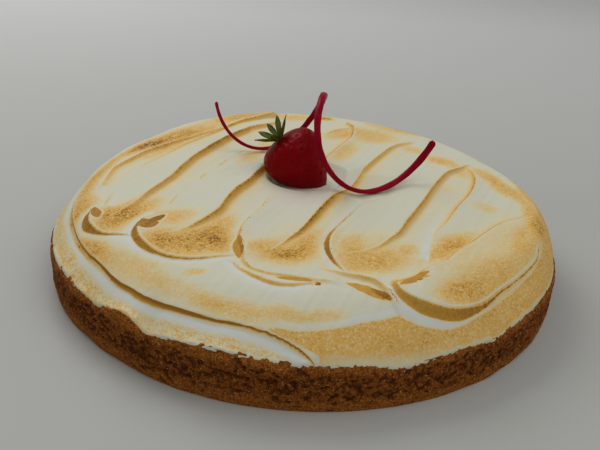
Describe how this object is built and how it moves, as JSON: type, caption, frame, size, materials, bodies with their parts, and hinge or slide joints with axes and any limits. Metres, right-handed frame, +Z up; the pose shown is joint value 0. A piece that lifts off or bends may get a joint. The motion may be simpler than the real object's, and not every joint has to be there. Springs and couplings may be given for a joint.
{
  "type": "strawberry rhubarb meringue pie",
  "caption": "Whole round pie: crumbly baked crust, toasted meringue cap swept into ridges with a spatula, and a strawberry with a red sugar curl on top.",
  "frame": {"origin": "centre of the pie's underside", "axes": "+Z up, -Y towards the front, where the spatula strokes of the meringue end, +X to the right"},
  "size_m": [0.24, 0.24, 0.0786],
  "materials": {
    "crust": "baked brown pastry crust, dry and crumbly",
    "meringue": "soft white meringue, toasted golden on its ridges",
    "strawberry": "ripe deep red berry with small seeds, moist and glossy",
    "calyx": "dark green leaves, slightly hairy",
    "sugar": "clear dark red sugar strand, glossy"
  },
  "bodies": {
    "root": {"crust": "crust", "meringue": "meringue", "strawberry": "strawberry", "strawberry_calyx": "calyx", "sugar_curl": "sugar"}
  },
  "joints": []
}
